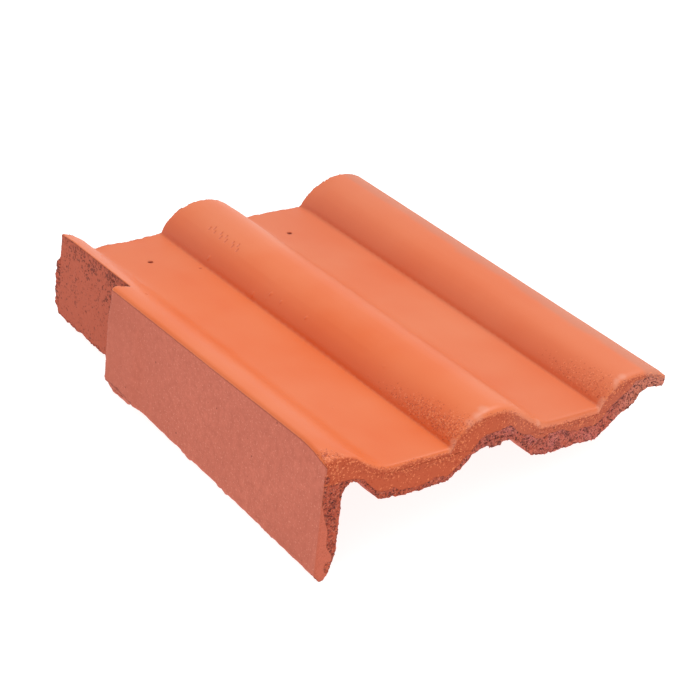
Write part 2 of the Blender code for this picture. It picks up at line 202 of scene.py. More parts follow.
def weathered_profiles():
    """The upper surface across the tile: as the solid has it, crisp, and with its easy slopes' feet soft."""
    x = np.arange(0.0, WIDTH + PROFILE_STEP, PROFILE_STEP)
    z = easy_flank(x, UPSTAND_HEIGHT, UPSTAND_RUN, UPSTAND_SLOPE)
    for crest in CRESTS:
        right = easy_flank(np.abs(x - crest), ROLL_HEIGHT, ROLL_EASY_RUN, ROLL_EASY_SLOPE)
        left = steep_flank(np.abs(x - crest), ROLL_HEIGHT, ROLL_STEEP_RUN)
        z = np.maximum(z, np.where(x > crest, right, left))
    crisp = blurred(z, CREASE_BLUR)
    share = np.minimum(sum(bell(x, foot, EASY_FOOT_WIDTH) for foot in EASY_FEET), 1.0)
    return x, z, crisp, crisp + share * (blurred(z, EASY_FOOT_BLUR) - crisp)


PROFILE_X, PROFILE_HARD, PROFILE_CRISP, PROFILE_SOFT = weathered_profiles()


def top_height(x, y):
    """Height of the weathered face, with its easy slopes' feet crisp at the head and soft further down."""
    crisp = np.interp(x, PROFILE_X, PROFILE_CRISP)
    soft = np.interp(x, PROFILE_X, PROFILE_SOFT)
    return soft + (crisp - soft) * smooth(*CRISP_FEET, y)


def foot_height(x):
    """The underside of the thick tail: flat pads with hollows under the corner and the rolls."""
    xs = [FLAP_THICKNESS, FOOT_CORNER_END - FOOT_CORNER_LEAN, FOOT_CORNER_END]
    zs = [-FOOT_CORNER_ROOF, -FOOT_CORNER_ROOF, -FOOT_THICKNESS]
    half = FOOT_HOLLOW_WIDTH / 2
    xs += [CRESTS[0] - half, CRESTS[0] - half + FOOT_HOLLOW_LEAN, CRESTS[0] + half - FOOT_HOLLOW_LEAN]
    zs += [-FOOT_THICKNESS, -FOOT_HOLLOW_ROOF, -FOOT_HOLLOW_ROOF]
    xs += [CRESTS[0] + half, CRESTS[1] - half, CRESTS[1] - half + FOOT_HOLLOW_LEAN, CRESTS[1], WIDTH]
    zs += [-FOOT_THICKNESS, -FOOT_THICKNESS, -FOOT_HOLLOW_ROOF, COVER_LIP_UNDERSIDE, COVER_LIP_UNDERSIDE]
    return np.interp(x, xs, zs)


def verge_fall(x, y):
    """How far the weathered face falls towards the verge corner of the tail."""
    along = np.maximum(0.0, 1 - y / VERGE_FALL_LENGTH)
    across = np.maximum(0.0, 1 - x / VERGE_FALL_WIDTH)
    return VERGE_FALL * along**2 * across


def depth_below_top(p):
    """How far points lie below the weathered face, as if it had no nose and no fall at the verge corner."""
    return top_height(p[:, 0], p[:, 1]) - p[:, 2]


def hashed(cells, seed):
    """Repeatable numbers from 0 to 1, one for each whole-number cell."""
    n = cells.astype(np.int64).astype(np.uint64)
    h = n[..., 0] * np.uint64(0x9E3779B97F4A7C15)
    h ^= n[..., 1] * np.uint64(0xC2B2AE3D27D4EB4F)
    h ^= n[..., 2] * np.uint64(0x165667B19E3779F9)
    h += np.uint64(seed * 0x27D4EB2F165667C5 % 2**64)
    h ^= h >> np.uint64(29)
    h *= np.uint64(0xBF58476D1CE4E5B9)
    h ^= h >> np.uint64(32)
    h *= np.uint64(0x94D049BB133111EB)
    h ^= h >> np.uint64(31)
    return (h & np.uint64(0xFFFFFF)).astype(float) / 2**24


CORNERS = np.array([[i, j, k] for i in (0, 1) for j in (0, 1) for k in (0, 1)])
NEIGHBOURS = np.array([[i, j, k] for i in (-1, 0, 1) for j in (-1, 0, 1) for k in (-1, 0, 1)])


def cloud(p, size, seed, octaves):
    """Smooth noise from about -1 to 1, with lumps about as far apart as size."""
    total = np.zeros(len(p))
    weight = 1.0
    for octave in range(octaves):
        q = p * (2.0**octave / size)
        cell = np.floor(q)
        t = q - cell
        t = t * t * t * (t * (t * 6 - 15) + 10)
        for corner in CORNERS:
            share = np.prod(np.where(corner == 1, t, 1 - t), axis=1)
            total += weight * share * (2 * hashed(cell + corner, seed + octave) - 1)
        weight /= 2
    return total


def grains(p, size, seed):
    """Distance to the nearest of scattered grains, in shares of their spacing, and that grain's number."""
    q = p / size
    cell = np.floor(q)
    nearest = np.full(len(p), np.inf)
    number = np.zeros(len(p))
    for neighbour in NEIGHBOURS:
        there = cell + neighbour
        centre = np.stack([hashed(there, seed + k) for k in range(3)], axis=1)
        gap = np.linalg.norm(there + centre - q, axis=1)
        closer = gap < nearest
        nearest = np.where(closer, gap, nearest)
        number = np.where(closer, hashed(there, seed + 3), number)
    return nearest, number


# Fine mesh of the CAD solid

def clean_solid(node, to_tile):
    """The CAD solid in the tile's frame: points, triangles and points along its sharp outer edges."""
    bm = bmesh.new()
    bm.from_mesh(node.data)
    bmesh.ops.transform(bm, matrix=to_tile, verts=bm.verts)
    bmesh.ops.remove_doubles(bm, verts=bm.verts, dist=WELD_REACH)
    bmesh.ops.dissolve_limit(bm, angle_limit=FLAT_ANGLE, verts=bm.verts, edges=bm.edges)
    for axis in range(3):
        low = min(vertex.co[axis] for vertex in bm.verts)
        high = max(vertex.co[axis] for vertex in bm.verts)
        normal = Vector((axis == 0, axis == 1, axis == 2))
        for k in range(1, int((high - low) / BLOCK) + 1):
            everything = bm.verts[:] + bm.edges[:] + bm.faces[:]
            place = normal * (low + k * BLOCK)
            bmesh.ops.bisect_plane(bm, geom=everything, dist=BLOCK_SNAP, plane_co=place, plane_no=normal)
    bmesh.ops.triangulate(bm, faces=bm.faces)
    bmesh.ops.recalc_face_normals(bm, faces=bm.faces)
    along_edges = []
    for edge in bm.edges:
        if edge.is_manifold and edge.calc_face_angle_signed(0.0) > SHARP_ANGLE:
            a, b = (vertex.co for vertex in edge.verts)
            steps = max(1, int((a - b).length / MM))
            along_edges += [a.lerp(b, k / steps) for k in range(steps + 1)]
    bm.verts.index_update()
    points = np.array([vertex.co for vertex in bm.verts], float)
    triangles = np.array([[vertex.index for vertex in face.verts] for face in bm.faces])
    bm.free()
    tree = KDTree(len(along_edges))
    for index, point in enumerate(along_edges):
        tree.insert(point, index)
    tree.balance()
    return points, triangles, tree


def zone_around(x, y, reach, edge):
    """A fine zone on the weathered face, as far as reach on each side of a place."""
    return (x - reach, y - reach, -MM), (x + reach, y + reach, MM), edge


# Fine zones: lowest and highest x, y and depth below the weathered face, and the longest edge wanted there
FINE_ZONES = [
    # The nose, the raw front below it, the flap's end and the verge corner
    ((0.000, 0.000, -0.002), (WIDTH, 0.012, 0.009), 1.15 * MM),
    ((0.000, -0.002, 0.007), (WIDTH, 0.001, 0.034), 0.95 * MM),
    ((0.000, -0.002, 0.014), (FLAP_THICKNESS, 0.001, 0.115), 0.85 * MM),
    ((0.000, 0.012, -0.001), (0.046, 0.034, 0.0015), 1.1 * MM),
    # The grainy flanks of the two rolls
    ((CRESTS[0] - 0.043, 0.012, -0.001), (CRESTS[0] - 0.006, 0.125, 0.001), 1.15 * MM),
    ((CRESTS[1] - 0.043, 0.012, -0.001), (CRESTS[1] - 0.008, 0.110, 0.001), 1.25 * MM),
    # The worn face of the flap's head part, and its end
    ((RECESS - 0.001, STEP_Y, 0.002), (RECESS + 0.001, LENGTH, 0.085), 1.4 * MM),
    ((RECESS - 0.001, LENGTH - 0.001, 0.001), (RECESS + HEAD_FLAP_THICKNESS, LENGTH, 0.085), 1.5 * MM),
    # The pressed strokes, the burr by the flap's step and the flap's arris
    ((0.1350, 0.326, -0.001), (0.1445, 0.378, 0.001), 0.8 * MM),
    ((0.000, STEP_Y - 0.075, 0.080), (FLAP_THICKNESS, STEP_Y, 0.110), 1.5 * MM),
    ((0.000, 0.000, 0.001), (0.001, STEP_Y, 0.004), 1.35 * MM),
    # The rest of the weathered face
    ((0.000, 0.000, -0.001), (WIDTH, LENGTH, 0.001), TOP_EDGE),
]
FINE_ZONES += [zone_around(x, y, 2 * NAIL_HOLE_RADIUS, 0.9 * MM) for x, y in NAIL_HOLES]
FINE_ZONES += [zone_around(x, y, radius, 0.8 * MM) for x, y, radius, _ in SPOTS]


def wanted_edges(p, sharp_edges):
    """The longest edge wanted at each point."""
    wanted = np.full(len(p), PLAIN_EDGE)
    q = np.column_stack([p[:, 0], p[:, 1], depth_below_top(p)])
    for low, high, edge in FINE_ZONES:
        outside = np.maximum(np.maximum(np.array(low) - q, q - np.array(high)), 0.0)
        wanted = np.minimum(wanted, edge + EDGE_GROWTH * np.linalg.norm(outside, axis=1))
    hidden = (q > np.array(UNDERSIDE_FROM)).all(axis=1)
    corner = np.where(hidden, HIDDEN_CORNER_EDGE, CORNER_EDGE)
    for index in np.nonzero(wanted > corner)[0]:
        gap = sharp_edges.find(p[index])[2]
        wanted[index] = min(wanted[index], corner[index] + CORNER_GROWTH * max(0.0, gap - corner[index]))
    return wanted


def split_once(points, triangles, sharp_edges):
    """Halve the edges that are too long, a triangle's longest first. Also says whether any were."""
    pairs = np.sort(triangles[:, [0, 1, 1, 2, 2, 0]].reshape(-1, 2), axis=1)
    keys, edge_of = np.unique(pairs[:, 0] * len(points) + pairs[:, 1], return_inverse=True)
    edge_of = edge_of.reshape(-1, 3)
    first, second = keys // len(points), keys % len(points)
    lengths = np.linalg.norm(points[first] - points[second], axis=1)
    middles = (points[first] + points[second]) / 2
    longest = edge_of[np.arange(len(edge_of)), lengths[edge_of].argmax(axis=1)]
    fair = np.zeros(len(keys), bool)
    fair[edge_of[lengths[edge_of] > FAIR_SHARE * lengths[longest][:, None]]] = True
    split = np.zeros(len(keys), bool)
    able = np.nonzero(fair & (lengths > SHORTEST_SPLIT))[0]
    split[able] = lengths[able] > OVERLONG * wanted_edges(middles[able], sharp_edges)
    if not split.any():
        return points, triangles, False
    while True:
        short_of = split[edge_of].any(axis=1) & ~split[longest]
        if not short_of.any():
            break
        split[longest[short_of]] = True
    middle_of = np.full(len(keys), -1)
    middle_of[split] = len(points) + np.arange(split.sum())
    points = np.vstack([points, middles[split]])
    middle = middle_of[edge_of]
    count = (middle >= 0).sum(axis=1)

    def turned(rows, start):
        """Corners and middles of some triangles, each taken from its own start."""
        order = (start[:, None] + np.arange(3)) % 3
        return np.take_along_axis(triangles[rows], order, 1).T, np.take_along_axis(middle[rows], order, 1).T

    parts = [triangles[count == 0]]
    rows = np.nonzero(count == 1)[0]
    (a, b, c), (m, _, _) = turned(rows, (middle[rows] >= 0).argmax(axis=1))
    parts += [np.column_stack([a, m, c]), np.column_stack([m, b, c])]
    rows = np.nonzero(count == 2)[0]
    (a, b, c), (m, n, _) = turned(rows, ((middle[rows] < 0).argmax(axis=1) + 1) % 3)
    parts += [np.column_stack([m, b, n])]
    swap = np.linalg.norm(points[m] - points[c], axis=1) < np.linalg.norm(points[a] - points[n], axis=1)
    parts += [np.column_stack([a, m, np.where(swap, c, n)]), np.column_stack([np.where(swap, m, a), n, c])]
    rows = np.nonzero(count == 3)[0]
    (a, b, c), (m, n, o) = turned(rows, np.zeros(len(rows), int))
    parts += [np.column_stack(three) for three in ((a, m, o), (m, b, n), (o, n, c), (m, n, o))]
    return points, np.vstack(parts), True


def surface_normals(points, triangles):
    """The normal at each point: the mean of its triangles' normals, by their area."""
    a, b, c = (points[triangles[:, k]] for k in range(3))
    across = np.cross(b - a, c - a)
    normals = np.zeros_like(points)
    for k in range(3):
        np.add.at(normals, triangles[:, k], across)
    return normals / np.maximum(np.linalg.norm(normals, axis=1), 1e-12)[:, None]


def relax(points, triangles, strength, times):
    """Move points towards the middle of their neighbours, each by its own strength."""
    ends = np.concatenate([triangles[:, [0, 1]], triangles[:, [1, 2]], triangles[:, [2, 0]]])
    share = np.bincount(ends[:, 0], minlength=len(points)) + np.bincount(ends[:, 1], minlength=len(points))
    for _ in range(times):
        total = np.zeros_like(points)
        np.add.at(total, ends[:, 0], points[ends[:, 1]])
        np.add.at(total, ends[:, 1], points[ends[:, 0]])
        points = points + strength[:, None] * (total / share[:, None] - points)
    return points


def seat_on_profile(points):
    """Points of the weathered face moved from the CAD facets onto its true curves, with a fuller nose."""
    x, y, z = points.T.copy()
    fall = verge_fall(x, y)
    hard = np.interp(x, PROFILE_X, PROFILE_HARD) - fall
    height = top_height(x, y) - fall
    inside = (x > EDGE_ROUND) & (x < WIDTH - EDGE_ROUND)
    flat = inside & (y >= NOSE_LENGTH) & (np.abs(z - hard) < SEAT_REACH)
    z[flat] = height[flat]
    along = (NOSE_LENGTH - y) / NOSE_LENGTH
    rise = (z - (hard - NOSE_DROP)) / NOSE_DROP
    reach = np.hypot(along, rise)
    nose = (y < NOSE_LENGTH) & (rise > 0.0) & (np.abs(reach - 1) < NOSE_BAND) & (along > 0)
    on_roll = smooth(*ROUND_NOSE_FROM, hard)
    power = PAN_NOSE_FULLNESS + (ROLL_NOSE_FULLNESS - PAN_NOSE_FULLNESS) * on_roll
    full = (np.abs(along) ** power + np.abs(rise) ** power) ** (1 / power)
    y[nose] = NOSE_LENGTH * (1 - along[nose] / full[nose])
    z[nose] = (np.where(inside, height, hard) - NOSE_DROP + NOSE_DROP * rise / full)[nose]
    return np.column_stack([x, y, z]), flat | nose


def fine_surface(node, to_tile):
    """The fine mesh in the tile's frame: points, triangles, and which points are on the weathered face."""
    points, triangles, sharp_edges = clean_solid(node, to_tile)
    for _ in range(MOST_PASSES):
        points, triangles, more = split_once(points, triangles, sharp_edges)
        if not more:
            break
    gap = np.array([sharp_edges.find(point)[2] for point in points])
    rounding = CORNER_ROUNDING * fade(*ROUNDED_WITHIN, gap)
    points = relax(points, triangles, rounding, ROUNDING_PASSES)
    points, on_top = seat_on_profile(points)
    return points, triangles, on_top


# Zones of the finish, worked out at each point of the fine mesh

# The two rows of short pressed strokes, all at one lean: x and y of the middle of each, and its length
STROKE_LEAN = 0.30
STROKE_WIDTH = 0.0011
STROKE_DEPTH = 0.0007
STROKES = (
    (0.1375, 0.3290, 0.0026), (0.1415, 0.3335, 0.0032), (0.1380, 0.3370, 0.0024), (0.1412, 0.3405, 0.0018),
    (0.1385, 0.3480, 0.0030), (0.1420, 0.3525, 0.0022), (0.1382, 0.3560, 0.0030), (0.1416, 0.3600, 0.0026),
    (0.1390, 0.3665, 0.0020), (0.1420, 0.3710, 0.0030), (0.1392, 0.3745, 0.0026),
)

# Painted highlights, pale patches on the rolls' noses and at the pans' corners: x and y of each, and its
# radius
HIGHLIGHT_PATCHES = (
    (0.136, 0.002, 0.0060), (0.143, 0.004, 0.0065), (0.150, 0.007, 0.0060), (0.119, 0.001, 0.0040),
    (0.204, 0.000, 0.0035), (0.269, 0.001, 0.0040), (0.285, 0.003, 0.0050), (0.292, 0.005, 0.0050),
)

# Places across the tile, and how far up the tail face from its lower edge the raw concrete reaches there
RAW_REACHES = (
    (0.017, 0.004), (0.046, 0.004), (0.053, 0.009), (0.075, 0.006), (0.119, 0.006), (0.130, 0.0045),
    (0.147, 0.008), (0.161, 0.0095), (0.185, 0.012), (0.203, 0.0155), (0.262, 0.0145), (0.285, 0.015),
    (0.311, 0.017), (0.332, 0.017),
)

# Places across the tile, and how far down the nose the bright coat reaches there before the darker slurry,
# which also carries painted shade of the front face
COAT_REACHES = (
    (0.000, 0.0020), (0.119, 0.0025), (0.150, 0.0035), (0.185, 0.0055), (0.205, 0.0055), (0.270, 0.0045),
    (0.300, 0.0030), (0.332, 0.0030),
)

# How far the worn edges stray up from the solid, along the tail's lower edge and then along the head's top:
# places across the tile, and the stray there, both in millimetres
TAIL_STRAYS = (
    (17, 1.5), (31, 0.3), (38, 2.2), (54, 0.4), (66, 0.2), (76, -1.7), (88, -1.0), (100, -2.4), (116, -1.4),
    (128, -0.8), (136, -2.8), (144, -0.2), (157, 3.0), (181, 2.2), (198, 0.5), (214, -1.0), (234, -1.2),
    (260, -0.8), (282, -2.6), (294, -3.8), (307, -0.4), (318, 3.6), (324, 1.5), (332, -3.0),
)
HEAD_STRAYS = (
    (17, -1.2), (40, 0.1), (52, -1.9), (60, -0.8), (92, -1.2), (126, 1.0), (156, 0.3), (188, -0.6),
    (204, -1.4), (214, 0.1), (260, -0.5), (286, -1.9), (300, 0.0),
)

# Faces of the tile. Here and below, a pair holds the values between which a share rises or falls.
TAIL_FACE = (0.7 * MM, 1.8 * MM)
TOP_FACING = 0.25
TOP_DEPTH = 5 * MM
VERGE_FACING = (0.25, 0.45)
FLAP_FACE_WITHIN = 3.5 * MM
HEAD_FACE_WITHIN = 4 * MM
STEP_EASE = 0.5 * MM
FLAP_BRICK_DROP = 0.0026
HEAD_BRICK_DROP = 0.0009
ARRIS_BAND = 2 * MM

# The coat: its ragged edge on the nose, the darker slurry below it, which also carries painted shade of the
# tail's front face, and painted shade on its steep flanks that face away from the light
COAT_EDGE_LUMP = 9 * MM
COAT_EDGE_WANDER = 0.7 * MM
SLURRY_LENGTH = (2.0 * MM, 4.0 * MM)
SLURRY_EDGE = (-0.8 * MM, 1.6 * MM)
FLANK_FACING = (0.25, 0.75)
FLANK_FROM = RECESS + 10 * MM
FLANK_EASES = (CRESTS[0], CRESTS[1] - 60 * MM)
FLANK_EASES_BY = 0.3

# Raw concrete: the edge of the tail's crumb, and the moulded skin on the flap's end, by its depth
RAW_LUMP = 11 * MM
RAW_WANDER = 2.0 * MM
RAW_EDGE = (-1.2 * MM, 1.2 * MM)
RAW_FLAP_TOP = -0.001
RAW_FLAP_WANDER = 2.5 * MM
SKIN_WIDTH = 0.0078
SKIN_DEPTHS = (0.015, 0.046)
LOW_SKIN_WIDTH = 6 * MM
LOW_SKIN_DEPTHS = (0.055, 0.068)
SKIN_EDGE = (-1.0 * MM, 1.0 * MM)
SKIN_WANDER = 0.9 * MM
STEP_FACING = (0.5, 0.8)

# Small raw places: the verge corner's chip, the flap's toe, the soffit, the head's flash and the lower rims
CHIP_X = 1 * MM
CHIP_Z = 3.5 * MM
CHIP_RADII = (1.5 * MM, 4 * MM)
CHIP_WANDER = 1.5 * MM
TOE_FROM = (7 * MM, 11 * MM)
TOE_Z = -0.076
TOE_HEIGHT = 6 * MM
SOFFIT_LENGTH = (4 * MM, 9 * MM)
DOWN_FACING = (0.2, 0.5)
LOOSE_WANDER = 3 * MM
FLASH_BAND = 2.5 * MM
FLASH_LENGTH = (LENGTH - 3.0 * MM, LENGTH - 1.0 * MM)
FLASH_TOP = (1 * MM, 4 * MM)
FLASH_FOOT = (50 * MM, 56 * MM)
HEAD_RIM = (1.5 * MM, 3.5 * MM)
HEAD_RIM_WANDER = 1.4 * MM
FLAP_RIM = (0.5 * MM, 1.9 * MM)
FLAP_RIM_WANDER = 1.8 * MM

# Paler, greyer coat: on the second roll, from its crest, a painted sheen that stands for the reflection of
# the bright surroundings at a grazing angle; the faint chalky shares grow across and up the roof
SHEEN_LUMP = 30 * MM
SHEEN_WANDER = 3 * MM
SHEEN_FROM = (CRESTS[1] - 4 * MM, CRESTS[1] + 6 * MM)
FAINT_FROM = (CRESTS[0], CRESTS[0] + 24 * MM)
FAINT = 0.28
FAINT_GAIN = 0.16
FAINT_GAINS = (0.24, 0.40)
HEAD_BLOOM = 0.25
HEAD_BLOOM_FROM = (0.28, 0.40)
# The painted highlights: the size and stray of their ragged edges, the share of their radius that is full,
# and how far below the weathered face they reach
HIGHLIGHT_LUMP = 6 * MM
HIGHLIGHT_WANDER = 1.5 * MM
HIGHLIGHT_CORE = 0.2
HIGHLIGHT_DEPTH = (3 * MM, 6 * MM)

# Sand grains: on the nose, on the steep flanks (how far up the roof, and how many), and at the verge corner
BEAD_LUMP = 12 * MM
NOSE_BEADS_LENGTH = (1.2 * MM, 4.5 * MM)
NOSE_BEADS_WANDER = 1.4 * MM
NOSE_BEADS_FROM = (-3 * MM, 1 * MM)
FRONT_BEADS_EASE = (8 * MM, 13 * MM)
FRONT_BEADS_LOSS = 0.65
FLANK_BEADS = ((0.135, 0.9), (0.105, 0.65))
FLANK_BEADS_FULL = 0.30
FLANK_BEADS_FOOT = (-44 * MM, -39 * MM)
FLANK_BEADS_TOP = -24 * MM
FLANK_DROP = 9 * MM
FLANK_DROPS = (0.01, 0.09)
FLANK_BEADS_EDGE = (-13 * MM, 7 * MM)
CORNER_BEADS = (9 * MM, 17 * MM)
CORNER_STRETCH = 0.7
BEADS_WANDER = 3 * MM


def at_places(x, pairs):
    """The value at each x, from pairs of a place across the tile and the value there."""
    places, values = zip(*pairs)
    return np.interp(x, places, values)


def stamped_strokes(x, y):
    """The short strokes up the first roll: 1 in the middle of each, falling to 0 at its sides."""
    pressed = np.zeros(len(x))
    cos, sin = math.cos(STROKE_LEAN), math.sin(STROKE_LEAN)
    for middle_x, middle_y, length in STROKES:
        along = (x - middle_x) * cos + (y - middle_y) * sin
        aside = (y - middle_y) * cos - (x - middle_x) * sin
        gap = np.hypot(np.maximum(0.0, np.abs(along) - length / 2), aside)
        pressed = np.maximum(pressed, fade(MARK_CORE * STROKE_WIDTH, STROKE_WIDTH, gap))
    return pressed


def spot_heights(x, y):
    """The rise or fall of the small spots in the coat."""
    total = np.zeros(len(x))
    for middle_x, middle_y, radius, height in SPOTS:
        total += height * fade(MARK_CORE * radius, radius, np.hypot(x - middle_x, y - middle_y))
    return total


def flap_bottom(y):
    """Height of the flap's lower edge, which rises from the tail towards its step."""
    return -FLAP_DEPTH_TAIL + (FLAP_DEPTH_TAIL - FLAP_DEPTH_STEP) * y / STEP_Y


def head_flap_bottom(y):
    """Height of the lower edge of the flap's head part."""
    return -HEAD_FLAP_DEPTH_STEP + (HEAD_FLAP_DEPTH_STEP - HEAD_FLAP_DEPTH_END) * (y - STEP_Y) / HEADLAP


class Zones:
    """Shares from 0 to 1 that say what each point of the surface belongs to, and how deep it lies."""

    def __init__(self, p, normals, on_top):
        x, y, z = p.T
        self.depth = depth_below_top(p)
        self.tail = fade(*TAIL_FACE, y) * ~on_top
        facing_up = (normals[:, 2] > TOP_FACING) & (self.depth < TOP_DEPTH)
        self.top = np.where(on_top | facing_up, 1.0, 0.0)
        self.coated = np.maximum(self.top, self.tail)
        facing_verge = smooth(*VERGE_FACING, -normals[:, 0])
        flap_arris = UPSTAND_HEIGHT - FLAP_BRICK_DROP
        head_arris = top_height(x, y) - HEAD_BRICK_DROP
        below_arris = np.where(y < STEP_Y, flap_arris, head_arris) - verge_fall(x, y) - z
        self.below_arris = np.clip(below_arris / ARRIS_BAND, -1, 1)
        self.flap = facing_verge * (x < FLAP_FACE_WITHIN) * (1 - self.tail) * (y < STEP_Y + STEP_EASE)
        self.head = facing_verge * (np.abs(x - RECESS) < HEAD_FACE_WITHIN) * (y > STEP_Y - STEP_EASE)
        self.head *= z > head_flap_bottom(y) - 2 * MM
        self.raw, self.skin = self.raw_and_skin(p, normals)
        wander = COAT_EDGE_WANDER * cloud(p, COAT_EDGE_LUMP, 15, 3)
        self.below_coat = self.depth - at_places(x, COAT_REACHES) + wander
        # The slurry's own colour, blended in down the nose together with painted shade of the tail's front
        # face
        self.slurry_and_shade = fade(*SLURRY_LENGTH, y) * smooth(*SLURRY_EDGE, self.below_coat)
        self.beads = self.bead_shares(p) * (1 - self.raw)
        # Painted shade: the coat is coloured darker on the rolls' steep flanks, which face away from the
        # light
        self.flank_shade = smooth(*FLANK_FACING, -normals[:, 0]) * self.top * (x > FLANK_FROM)
        self.flank_shade *= 1 - FLANK_EASES_BY * smooth(*FLANK_EASES, x)
        self.bloom_and_sheen = self.bloom_and_sheen_shares(p)
        self.painted_highlight = self.painted_highlight_shares(p)

    def raw_and_skin(self, p, normals):
        """Where the concrete shows its crumb, and where the flap's end keeps a moulded skin."""
        x, y, z = p.T
        ragged = cloud(p, RAW_LUMP, 11, 4)
        reach = at_places(x, RAW_REACHES) + RAW_WANDER * ragged
        front = self.tail * (x > FLAP_THICKNESS) * fade(*RAW_EDGE, z - foot_height(x) - reach)
        skin_width = SKIN_WIDTH * smooth(*SKIN_DEPTHS, -z) + LOW_SKIN_WIDTH * smooth(*LOW_SKIN_DEPTHS, -z)
        past_skin = smooth(*SKIN_EDGE, x - skin_width - SKIN_WANDER * ragged)
        below_coat = smooth(*RAW_EDGE, RAW_FLAP_TOP - z + RAW_FLAP_WANDER * ragged)
        flap_end = self.tail * (x <= FLAP_THICKNESS)
        end = flap_end * past_skin * below_coat
        skin = flap_end * below_coat * (1 - past_skin)
        step = smooth(*STEP_FACING, normals[:, 1]) * (y > STEP_Y - 1 * MM)
        chip = self.tail * fade(*CHIP_RADII, np.hypot(x - CHIP_X, z - CHIP_Z) + CHIP_WANDER * ragged)
        toe = flap_end * smooth(*TOE_FROM, x + LOOSE_WANDER * ragged) * bell(z, TOE_Z, TOE_HEIGHT)
        soffit = fade(*SOFFIT_LENGTH, y + LOOSE_WANDER * ragged) * smooth(*DOWN_FACING, -normals[:, 2])
        # The head end's flash: raw crumb, also coloured darker as painted shade on that corner, which faces
        # away from the light
        flash = (np.abs(x - RECESS) < FLASH_BAND) * smooth(*FLASH_LENGTH, y)
        flash *= smooth(*FLASH_TOP, -z) * fade(*FLASH_FOOT, -z)
        head_rim = self.head * fade(*HEAD_RIM, z - head_flap_bottom(y) + HEAD_RIM_WANDER * ragged)
        flap_rim = self.flap * fade(*FLAP_RIM, z - flap_bottom(y) + FLAP_RIM_WANDER * ragged)
        raw = np.maximum.reduce([front, end, step, chip, toe, soffit, flash, head_rim, flap_rim])
        return np.clip(raw, 0, 1), skin

    def bloom_and_sheen_shares(self, p):
        """Where the coat is paler and greyer: most on the second roll as a painted sheen, and some past the
        first crest and at the head as faint chalky bloom.
        """
        x, y, _ = p.T
        # The second roll's share is a painted sheen, from its crest to the tile's edge
        wander = cloud(p, SHEEN_LUMP, 5, 3)
        second_roll_sheen = smooth(*SHEEN_FROM, x + SHEEN_WANDER * wander)
        faint = FAINT + FAINT_GAIN * smooth(*FAINT_GAINS, y)
        faint = np.maximum(faint * smooth(*FAINT_FROM, x), HEAD_BLOOM * smooth(*HEAD_BLOOM_FROM, y))
        return np.maximum(second_roll_sheen, faint) * self.coated

    def painted_highlight_shares(self, p):
        """Where pale painted highlights lie on the coat, at the noses of the rolls and the corners of the
        pans.
        """
        x, y, _ = p.T
        wander = cloud(p, HIGHLIGHT_LUMP, 25, 3)
        painted_highlight = np.zeros(len(p))
        for middle_x, middle_y, radius in HIGHLIGHT_PATCHES:
            gap = np.hypot(x - middle_x, y - middle_y) + HIGHLIGHT_WANDER * wander
            painted_highlight = np.maximum(painted_highlight, fade(HIGHLIGHT_CORE * radius, radius, gap))
        return painted_highlight * fade(*HIGHLIGHT_DEPTH, self.depth) * self.coated

    def bead_shares(self, p):
        """Where sand grains stand out through the coat: the nose, two flanks near it, the verge corner."""
        x, y, _ = p.T
        wander = cloud(p, BEAD_LUMP, 21, 3)
        nose = fade(*NOSE_BEADS_LENGTH, y + NOSE_BEADS_WANDER * wander)
        nose = nose * smooth(*NOSE_BEADS_FROM, self.below_coat)
        nose *= 1 - FRONT_BEADS_LOSS * smooth(*FRONT_BEADS_EASE, self.depth + BEADS_WANDER * wander)
        flanks = np.zeros(len(p))
        for crest, (reach, most) in zip(CRESTS, FLANK_BEADS):
            low = smooth(*FLANK_BEADS_FOOT, x - crest)
            top_of_beads = FLANK_BEADS_TOP - FLANK_DROP * smooth(*FLANK_DROPS, y)
            high = fade(*FLANK_BEADS_EDGE, x - crest - top_of_beads + BEADS_WANDER * wander)
            flanks = np.maximum(flanks, most * low * high * fade(FLANK_BEADS_FULL * reach, reach, y))
        corner = fade(*CORNER_BEADS, np.hypot(CORNER_STRETCH * x, y) + BEADS_WANDER * wander)
        return np.maximum.reduce([nose, flanks, corner]) * self.coated


# Relief: how far apart the scattered marks lie, and how high or deep they are

BEAD_SPACING = 2.1 * MM
BEAD_HEIGHT = 0.36 * MM
TOP_SWELL_SIZE = 42 * MM
TOP_SWELL_HEIGHT = 0.14 * MM
BLISTER_SPACING = 10 * MM
BLISTER_HEIGHT = 0.45 * MM
BLISTERS_ACROSS = (CRESTS[0] - 42 * MM, CRESTS[0] - 26 * MM)
BLISTERS_ABOVE = 0.10
CRUMB_LUMP = 5.5 * MM
CRUMB_PIT_SPACING = 3.0 * MM
CRUMB_SPACING = 1.9 * MM
CRUMB_HEIGHT = 0.75 * MM
HEAD_PIT_SIZE = 1.9 * MM
HEAD_PIT_DEPTH = 0.9 * MM
HEAD_SWELL_SIZE = 7 * MM
HEAD_SWELL_HEIGHT = 0.25 * MM
FLAP_SWELL_SIZE = 30 * MM
FLAP_SWELL_HEIGHT = 0.10 * MM
WEAR_LUMP = 14 * MM
LIP_WEAR_DEPTH = 6 * MM
LIP_WEAR_REACH = 20 * MM
STEP_WEAR_PAST = 12 * MM
STEP_WEAR_REACH = 30 * MM
STEP_WEAR_FADE = (0.030, 0.048)
CRACK_X = 4.5 * MM
CRACK_Y = 8 * MM
CRACK_LEAN = 0.3
CRACK_STRETCH = 0.4
CRACK_WIDTH = (0.4 * MM, 1.5 * MM)
CRACK_DEPTH = 0.5 * MM
BURR_LINE_ABOVE = 5 * MM
BURR_LINE_WANDER = 1.5 * MM
BURR_LINE_WIDTH = 1.0 * MM
BURR_LINE_FROM = STEP_Y - 42 * MM
BURR_LINE_DEPTH = 0.6 * MM
FULL_SPOT = 0.6 * MM


